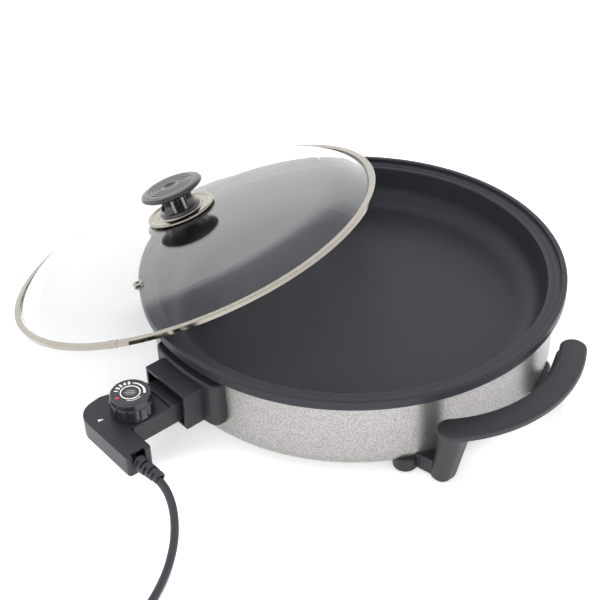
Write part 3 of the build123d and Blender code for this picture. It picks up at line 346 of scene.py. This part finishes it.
def frame_at(origin, direction, hint=Vector((0, 0, 1))):
    """Matrix whose Z runs along direction from origin."""
    z_axis = Vector(direction).normalized()
    x_axis = hint.cross(z_axis).normalized()
    y_axis = z_axis.cross(x_axis)
    return Matrix.Translation(Vector(origin)) @ Matrix((x_axis, y_axis, z_axis)).transposed().to_4x4()


def add_skin(shape, rows, capped=True):
    """Faces over cross-sections with equal numbers of corners, closed at both ends if capped."""
    for before, after in zip(rows, rows[1:]):
        for side in range(len(before)):
            nxt = (side + 1) % len(before)
            shape.faces.new((before[side], before[nxt], after[nxt], after[side]))
    if capped:
        shape.faces.new(rows[0])
        shape.faces.new(rows[-1])


def add_tube_grid(shape, stations, sides, radius_at, matrix):
    """Open-ended sleeve: at each station along Z the radius depends on the angle."""
    rings = []
    for station in stations:
        ring = []
        for side in range(sides):
            angle = TURN * side / sides
            reach = radius_at(station, angle)
            ring.append(shape.verts.new(matrix @ Vector(
                (reach * math.cos(angle), reach * math.sin(angle), station))))
        rings.append(ring)
    add_skin(shape, rings, capped=False)
    return rings


# ---------------------------------------------------------------- cord
CORD_D = 7.0
RELIEF_START = (46.0, -281.0, 47.0)
RELIEF_END = (71.0, -277.6, 44.0)
COIL_CENTRE = (200.0, -373.0)
COIL_LANE = 7.0
COIL_INNER_R = 33.5
COIL_LOW_Z = 4.9
COIL_ENTRY_DEG = 210
COIL_EXIT_DEG = 270
COIL_TURNS = 4
COIL_STEPS = 16
LANE_CHANGE_DEG = 60.0
LANE_BULGE = 2.7
TAIL_Y = -413.5
PLUG_AXIS_Z = 18.6
CORD_ROUTE = [
    RELIEF_START, RELIEF_END, (93.0, -281.6, 35.5), (109.5, -293.0, 19.0), (121.0, -309.0, 6.0),
    (134.0, -329.0, 3.5), (146.0, -353.0, 3.5), (151.5, -378.0, 3.7),
]
CORD_TAIL = [
    (220.0, TAIL_Y, 12.9), (242.0, TAIL_Y, 18.0),
    (262.0, TAIL_Y, PLUG_AXIS_Z), (270.0, TAIL_Y, PLUG_AXIS_Z),
]


def coil_lanes():
    """(radius, height) of each pass of the coil: beside it, two lanes below, two above."""
    outer = COIL_INNER_R + COIL_LANE
    high = COIL_LOW_Z + COIL_LANE
    return [(outer + COIL_LANE, COIL_LOW_Z), (outer, COIL_LOW_Z), (COIL_INNER_R, COIL_LOW_Z),
            (COIL_INNER_R, high), (outer, high)]


def coil_points():
    """Turns of the coil; every pass changes lane over the same stretch, just past the tail."""
    lanes = coil_lanes()
    step = 360.0 / COIL_STEPS
    # A quadratic spline runs inside its points, so they stand out by this share.
    wider = 1 / (0.75 + 0.25 * math.cos(math.radians(step)))
    points = []
    last = COIL_EXIT_DEG + 360.0 * COIL_TURNS
    count = round((last - COIL_ENTRY_DEG) / step)
    for number in range(count + 1):
        degrees = COIL_ENTRY_DEG + (last - COIL_ENTRY_DEG) * number / count
        turn, into = divmod(degrees - COIL_EXIT_DEG, 360.0)
        turn = min(int(turn), COIL_TURNS - 1)
        if degrees >= last:
            into = 360.0
        share = min(1.0, into / LANE_CHANGE_DEG) if turn >= 0 else 0.0
        share = share * share * (3 - 2 * share)
        before, after = lanes[max(turn, 0)], lanes[max(turn, 0) + 1]
        reach = before[0] + (after[0] - before[0]) * share
        z = before[1] + (after[1] - before[1]) * share
        if before[1] != after[1]:
            reach -= LANE_BULGE * 4 * share * (1 - share)
        angle = math.radians(degrees)
        points.append((COIL_CENTRE[0] + wider * reach * math.cos(angle),
                       COIL_CENTRE[1] + wider * reach * math.sin(angle), z))
    return points


def make_cord(materials):
    """The mains lead: down from the probe, along the table, round the coil and into the plug."""
    curve = bpy.data.curves.new("mains_lead", "CURVE")
    curve.dimensions = "3D"
    curve.bevel_depth = CORD_D / 2 * MM
    curve.bevel_resolution = 6
    curve.resolution_u = 10
    curve.use_fill_caps = True
    spline = curve.splines.new("NURBS")
    points = [mm(*point) for point in CORD_ROUTE + coil_points() + CORD_TAIL]
    spline.points.add(len(points) - 1)
    for target, point in zip(spline.points, points):
        target.co = (*point, 1)
    spline.order_u = 3
    spline.use_endpoint_u = True
    piece = new_piece("mains_lead", curve, materials["cord_rubber"], "probe")
    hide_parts("power_cord", "cord_coil", "cord_tail")
    return piece


RELIEF_LENGTH = (Vector(RELIEF_END) - Vector(RELIEF_START)).length
RELIEF_RIBS = 5
RELIEF_WIDE = (6.9, 5.3)
RELIEF_SLIM = 3.9
RELIEF_FOOT = 2.0
RELIEF_TIP = 1.2
SLOT_SHARE = 0.52
SLOT_EDGE = 0.05
WEB_START = 0.62
WEB_BLEND = 0.10
RELIEF_STATIONS = 150
RELIEF_SIDES = 64
BORE_SHARE = 0.98
RELIEF_SHARP_DEG = 32.0


def relief_radius(station, angle):
    """Radius of the strain relief in metres: solid ribs, joined by webs on alternate sides."""
    along = station / MM
    taper = RELIEF_WIDE[0] + (RELIEF_WIDE[1] - RELIEF_WIDE[0]) * along / RELIEF_LENGTH
    if along < RELIEF_FOOT or along > RELIEF_LENGTH - RELIEF_TIP:
        return taper * MM
    pitch = (RELIEF_LENGTH - RELIEF_FOOT - RELIEF_TIP) / RELIEF_RIBS
    rib, phase = divmod((along - RELIEF_FOOT) / pitch, 1.0)
    if phase > SLOT_SHARE:
        return taper * MM
    across = angle + (math.pi / 2 if int(rib) % 2 else 0.0)
    web = abs(math.cos(across)) ** 0.5
    share = min(1.0, max(0.0, (web - WEB_START) / WEB_BLEND))
    edge = min(1.0, min(phase, SLOT_SHARE - phase) / SLOT_EDGE)
    return (taper + (RELIEF_SLIM - taper) * share * edge) * MM


def make_strain_relief(materials):
    """Tapered sleeve with slots cut from alternate sides, so that it bends evenly."""
    shape = bmesh.new()
    matrix = frame_at(mm(*RELIEF_START), Vector(RELIEF_END) - Vector(RELIEF_START))
    stations = [RELIEF_LENGTH * MM * number / RELIEF_STATIONS for number in range(RELIEF_STATIONS + 1)]
    rings = add_tube_grid(shape, stations, RELIEF_SIDES, relief_radius, matrix)
    bore = CORD_D / 2 * MM * BORE_SHARE
    for ring, station in ((rings[0], stations[0]), (rings[-1], stations[-1])):
        centre = matrix @ Vector((0, 0, station))
        inner = [shape.verts.new(centre + (vert.co - centre).normalized() * bore) for vert in ring]
        for side in range(len(ring)):
            after = (side + 1) % len(ring)
            shape.faces.new((ring[side], ring[after], inner[after], inner[side]))
    mesh = mesh_from(shape, "relief_sleeve", RELIEF_SHARP_DEG)
    piece = new_piece("relief_sleeve", mesh, materials["cord_rubber"], "probe")
    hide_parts("strain_relief")
    return piece


TIE_AZIMUTH = math.radians(20.0)
TIE_WIDTH = 9.0
TIE_THICK = 0.9
TIE_CORNER = 3.9
TIE_HALF = COIL_LANE + 0.35
TIE_START = -0.02
TIE_END = 1.16
TIE_STEPS = 120
TIE_OVERLAP = 0.94
TIE_CLIMB = 0.06
TIE_INSET = 0.02
TIE_TOP_NARROWER = 0.3
TIE_SHEET = TIE_THICK * 0.47
TIE_LAP_LIFT = TIE_THICK * 0.5


def tie_loop_point(share, lift):
    """Point of the strap's loop round the coil's section, lift mm out from its inner face."""
    corner = TIE_CORNER + lift
    flat = TIE_HALF - TIE_CORNER
    run = 2 * flat
    arc = math.pi / 2 * TIE_CORNER
    at = share * 4 * (run + arc)
    side, rest = divmod(at, run + arc)
    turn = int(side) * math.pi / 2
    if rest < run:
        x, y = flat - rest, flat + corner
    else:
        bend = (rest - run) / TIE_CORNER
        x, y = -flat - corner * math.sin(bend), flat + corner * math.cos(bend)
    return x * math.cos(turn) - y * math.sin(turn), x * math.sin(turn) + y * math.cos(turn)


def make_tie(materials):
    """Hook-and-loop strap round the coil, with its free end lying over itself."""
    shape = bmesh.new()
    matrix = (Matrix.Translation(mm(*COIL_CENTRE, COIL_LOW_Z + COIL_LANE / 2))
              @ Matrix.Rotation(TIE_AZIMUTH, 4, "Z")
              @ Matrix.Translation(mm(COIL_INNER_R + COIL_LANE / 2, 0, 0)))
    rows = []
    for number in range(TIE_STEPS + 1):
        share = TIE_START + (TIE_END - TIE_START) * number / TIE_STEPS
        over = min(1.0, max(0.0, (share - TIE_OVERLAP) / TIE_CLIMB))
        base = TIE_INSET + over * TIE_LAP_LIFT
        row = []
        for lift, width in ((base, TIE_WIDTH), (base + TIE_SHEET, TIE_WIDTH - TIE_TOP_NARROWER)):
            x, z = tie_loop_point(share % 1.0, lift)
            for side in (-0.5, 0.5):
                row.append(shape.verts.new(matrix @ mm(x, side * width, z)))
        rows.append([row[0], row[1], row[3], row[2]])
    add_skin(shape, rows)
    mesh = mesh_from(shape, "coil_strap")
    piece = new_piece("coil_strap", mesh, materials["tie_strap"], "probe")
    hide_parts("cord_tie")
    return piece


# ---------------------------------------------------------------- printed marks on the dial
DIAL_XY = (0.0, -254.0)
MARK_THICK = 0.12
DIGIT_HEIGHT = 3.2
DIGIT_R = 12.2
DIGIT_START_DEG = 222.0
DIGIT_STEP_DEG = 18.0
DIGIT_COUNT = 5
DIGIT_BOLDER = 0.0002
CAP_HEIGHT_SHARE = 0.7
ARC_STEP_DEG = 4
FULL_TURN_SLACK = 1e-6
SWELLING_ARC = ((11.6, 12.6), (136.0, 46.0))
SWELLING_WIDTHS = (0.7, 1.9)
INNER_RING = ((7.9, 8.7), (0.0, 360.0))
FINE_ARC = ((10.3, 10.7), (20.0, -50.0))
OFF_MARK = ((-3.0, -14.2), (-0.6, -14.0), (0.4, -11.0), (-1.8, -11.2))
BAR_TURN = math.radians(50.3)
BAR_HALF_WIDTH = 0.45
BARS = ((2.2, 3.6), (0.0, 5.0), (-2.2, 3.6))
INDEX_TIP = (-6.6, -278.9)
INDEX_LENGTH = 5.0
INDEX_HALF_WIDTH = 1.3
INDEX_LOW_Z = 58.0
INDEX_THICK = 0.06


def add_ring_sector(shape, centre, low_z, radii, degrees, thick, ends=None):
    """Raised flat arc between two radii; ends gives the widths at its start and end."""
    first, last = (math.radians(value) for value in degrees)
    count = max(3, round(abs(last - first) / math.radians(ARC_STEP_DEG)))
    middle = sum(radii) / 2
    width = radii[1] - radii[0]
    rows = []
    for number in range(count + 1):
        share = number / count
        angle = first + (last - first) * share
        half = width / 2 if ends is None else (ends[0] + (ends[1] - ends[0]) * share) / 2
        row = []
        for reach, z in ((middle - half, low_z), (middle + half, low_z),
                         (middle + half, low_z + thick), (middle - half, low_z + thick)):
            row.append(shape.verts.new(mm(
                centre[0] + reach * math.cos(angle), centre[1] + reach * math.sin(angle), z)))
        rows.append(row)
    add_skin(shape, rows, capped=abs(abs(last - first) - TURN) > FULL_TURN_SLACK)


def add_digit(shape, digit, centre, azimuth, low_z):
    """One raised digit whose top points away from the dial's centre."""
    text = bpy.data.curves.new("digit", "FONT")
    text.body = digit
    text.size = DIGIT_HEIGHT * MM / CAP_HEIGHT_SHARE
    text.extrude = MARK_THICK * MM / 2
    text.offset = DIGIT_BOLDER
    text.align_x = "CENTER"
    text.align_y = "CENTER"
    holder = bpy.data.objects.new("digit", text)
    bpy.context.scene.collection.objects.link(holder)
    bpy.context.view_layer.update()
    glyph = bpy.data.meshes.new_from_object(holder.evaluated_get(bpy.context.evaluated_depsgraph_get()))
    spot = mm(centre[0] + DIGIT_R * math.cos(azimuth), centre[1] + DIGIT_R * math.sin(azimuth),
              low_z + MARK_THICK / 2)
    glyph.transform(Matrix.Translation(spot) @ Matrix.Rotation(azimuth - math.pi / 2, 4, "Z"))
    shape.from_mesh(glyph)
    bpy.data.meshes.remove(glyph)
    bpy.data.objects.remove(holder)
    bpy.data.curves.remove(text)


def add_plate(shape, outline, low_z, thick):
    """Thin raised plate from a flat outline in mm."""
    low = [shape.verts.new(mm(x, y, low_z)) for x, y in outline]
    high = [shape.verts.new(mm(x, y, low_z + thick)) for x, y in outline]
    shape.faces.new(low)
    shape.faces.new(high)
    for side in range(len(outline)):
        after = (side + 1) % len(outline)
        shape.faces.new((low[side], low[after], high[after], high[side]))


def make_dial_marks(materials):
    """White scale of digits, arcs and a ring, the red off mark, and three grey bars in the middle."""
    white = printed("white_print", (0.80, 0.80, 0.78))
    red = printed("red_print", (0.55, 0.03, 0.03))
    grey = printed("grey_print", (0.25, 0.25, 0.25))
    low_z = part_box("dial_disc")[1].z / MM
    shape = bmesh.new()
    for number in range(DIGIT_COUNT):
        azimuth = math.radians(DIGIT_START_DEG - DIGIT_STEP_DEG * number)
        add_digit(shape, str(number + 1), DIAL_XY, azimuth, low_z)
    add_ring_sector(shape, DIAL_XY, low_z, *SWELLING_ARC, MARK_THICK, ends=SWELLING_WIDTHS)
    add_ring_sector(shape, DIAL_XY, low_z, *INNER_RING, MARK_THICK)
    add_ring_sector(shape, DIAL_XY, low_z, *FINE_ARC, MARK_THICK)
    new_piece("dial_marks", mesh_from(shape, "dial_marks"), white, "dial")
    shape = bmesh.new()
    x, y = DIAL_XY
    add_plate(shape, [(x + across, y + along) for across, along in OFF_MARK], low_z, MARK_THICK)
    new_piece("dial_off_mark", mesh_from(shape, "dial_off_mark"), red, "dial")
    shape = bmesh.new()
    turn = Matrix.Rotation(BAR_TURN, 2)
    for offset, half in BARS:
        low, high = offset - BAR_HALF_WIDTH, offset + BAR_HALF_WIDTH
        outline = ((-half, low), (half, low), (half, high), (-half, high))
        corners = [turn @ Vector(corner) for corner in outline]
        add_plate(shape, [(x + corner.x, y + corner.y) for corner in corners], low_z, MARK_THICK)
    new_piece("dial_centre_bars", mesh_from(shape, "dial_centre_bars"), grey, "dial")


def make_index_mark(materials):
    """White pointer printed on the probe beside the dial."""
    shape = bmesh.new()
    tip = Vector(INDEX_TIP)
    away = (tip - Vector(DIAL_XY)).normalized()
    side = Vector((-away.y, away.x))
    base = tip + away * INDEX_LENGTH
    corners = [tip, base + side * INDEX_HALF_WIDTH, base - side * INDEX_HALF_WIDTH]
    add_plate(shape, [tuple(corner) for corner in corners], INDEX_LOW_Z, INDEX_THICK)
    white = printed("index_print", (0.80, 0.80, 0.78))
    new_piece("index_mark", mesh_from(shape, "index_mark"), white, "probe")


# ---------------------------------------------------------------- ribs on the probe
HATCH_TOP_Z = 64.0
HATCH_X = (-18.6, -7.4)
HATCH_Y = (-242.6, -232.4)
HATCH_RIBS = 7
HATCH_SUNK = 0.05
HATCH_THICK = 0.6
HATCH_HALF_WIDTH = 0.4
HATCH_SHORTEST = 2.0
DIAL_CLEAR_R = 21.4


def make_hatch_ribs(materials):
    """Low ribs across the raised block behind the dial."""
    shape = bmesh.new()
    pitch = (HATCH_Y[1] - HATCH_Y[0]) / (HATCH_RIBS - 1)
    for number in range(HATCH_RIBS):
        y = HATCH_Y[0] + pitch * number
        reach = DIAL_CLEAR_R ** 2 - (y - DIAL_XY[1]) ** 2
        far = min(HATCH_X[1], -math.sqrt(reach)) if reach > 0 else HATCH_X[1]
        if far - HATCH_X[0] > HATCH_SHORTEST:
            near_y, far_y = y - HATCH_HALF_WIDTH, y + HATCH_HALF_WIDTH
            add_plate(shape, [(HATCH_X[0], near_y), (far, near_y), (far, far_y), (HATCH_X[0], far_y)],
                      HATCH_TOP_Z - HATCH_SUNK, HATCH_THICK)
    mesh = mesh_from(shape, "hatch_ribs")
    new_piece("hatch_ribs", mesh, materials["black_plastic"], "probe")


# ---------------------------------------------------------------- joint of the lid's band
LID_CENTRE = (-161.8, -67.9, 70.6)
LID_TILT = math.radians(20.3)
LID_LOW_AZIMUTH = math.radians(204.5)
SEAM_R = 193.75
SEAM_INNER_R = 187.2
SEAM_HALF_HEIGHT = 2.6
SEAM_BEVEL = 0.5
SEAM_STEPS = 8
SEAM_AZIMUTH_DEG = -82.6
SEAM_SPAN_DEG = 3.6


def lid_matrix():
    """Frame of the leaning lid, in metres."""
    ct, st = math.cos(LID_TILT), math.sin(LID_TILT)
    cl, sl = math.cos(LID_LOW_AZIMUTH), math.sin(LID_LOW_AZIMUTH)
    axis = Vector((st * cl, st * sl, ct))
    uphill = Vector((-ct * cl, -ct * sl, st))
    turn = Matrix((uphill, axis.cross(uphill), axis)).transposed().to_4x4()
    return Matrix.Translation(mm(*LID_CENTRE)) @ turn


def make_band_seam(materials):
    """Small folded clip that covers the joint of the rolled steel band."""
    shape = bmesh.new()
    matrix = lid_matrix()
    flat_r, side_z = SEAM_R - SEAM_BEVEL, SEAM_HALF_HEIGHT - SEAM_BEVEL
    profile = [(SEAM_INNER_R, SEAM_HALF_HEIGHT), (flat_r, SEAM_HALF_HEIGHT), (SEAM_R, side_z),
               (SEAM_R, -side_z), (flat_r, -SEAM_HALF_HEIGHT), (SEAM_INNER_R, -SEAM_HALF_HEIGHT)]
    rows = []
    for number in range(SEAM_STEPS + 1):
        angle = math.radians(SEAM_AZIMUTH_DEG + SEAM_SPAN_DEG * (number / SEAM_STEPS - 0.5))
        rows.append([shape.verts.new(matrix @ mm(reach * math.cos(angle), reach * math.sin(angle), z))
                     for reach, z in profile])
    add_skin(shape, rows)
    mesh = mesh_from(shape, "band_seam")
    new_piece("band_seam", mesh, materials["polished_steel"], "lid")


# ---------------------------------------------------------------- stage
FLOOR_HALF = 4.0
WALL_STOPS = (
    (0.0, (0.86, 0.86, 0.86)), (0.5, (0.98, 0.99, 1.0)),
    (0.7, (0.46, 0.46, 0.50)), (0.95, (0.40, 0.40, 0.44)),
)
WALL_STRENGTH = 1.7
LIGHT_TARGET = (0, 0, 0.05)
PANELS = (
    ("top_panel", (-0.2, 0.1, 2.2), (1.8, 1.8), 34.0),
    ("front_panel", (1.3, -1.9, 1.6), (1.6, 1.2), 22.0),
)


def make_floor():
    """Plain pale table top."""
    mesh = bpy.data.meshes.new("table_top")
    corners = [(-FLOOR_HALF, -FLOOR_HALF, 0), (FLOOR_HALF, -FLOOR_HALF, 0),
               (FLOOR_HALF, FLOOR_HALF, 0), (-FLOOR_HALF, FLOOR_HALF, 0)]
    mesh.from_pydata(corners, [], [(0, 1, 2, 3)])
    floor = bpy.data.objects.new("table_top", mesh)
    bpy.context.scene.collection.objects.link(floor)
    made = principled("table_top", (0.86, 0.86, 0.86), 0.7, Specular_IOR_Level=0.1,
                      Emission_Color=(1, 1, 1, 1), Emission_Strength=0.32)
    slow = noise(made, 3.0)
    feed(made, "Base Color", ramp(made, slow, (0.3, (0.85, 0.85, 0.855)), (0.7, (0.87, 0.87, 0.87))))
    mesh.materials.append(made)


def area_light(name, place_at, size, power):
    """Soft white rectangular light aimed at the pan, which isn't mirrored in glass or metal."""
    data = bpy.data.lights.new(name, "AREA")
    data.shape = "RECTANGLE"
    data.size, data.size_y = size
    data.energy = power
    light = bpy.data.objects.new(name, data)
    bpy.context.scene.collection.objects.link(light)
    light.location = place_at
    light.rotation_mode = "QUATERNION"
    light.rotation_quaternion = (Vector(LIGHT_TARGET) - Vector(place_at)).to_track_quat("-Z", "Y")
    light.visible_glossy = False
    light.visible_transmission = False


def make_light():
    """White studio: bright low walls, a dimmer upper part and two big soft panels above."""
    world = bpy.data.worlds.new("studio")
    world.use_nodes = True
    bpy.context.scene.world = world
    nodes, links = world.node_tree.nodes, world.node_tree.links
    split = nodes.new("ShaderNodeSeparateXYZ")
    links.new(nodes.new("ShaderNodeTexCoord").outputs["Generated"], split.inputs["Vector"])
    background = nodes["Background"]
    links.new(ramp(world, split.outputs["Z"], *WALL_STOPS), background.inputs["Color"])
    background.inputs["Strength"].default_value = WALL_STRENGTH
    for panel in PANELS:
        area_light(*panel)
    bpy.context.scene.view_settings.view_transform = "Standard"


# ---------------------------------------------------------------- build
make_camera()
make_floor()
make_light()
materials = make_materials()
dress_nodes(materials)
lead = make_cord(materials)
relief = make_strain_relief(materials)
strap = make_tie(materials)
make_dial_marks(materials)
make_index_mark(materials)
make_hatch_ribs(materials)
make_band_seam(materials)
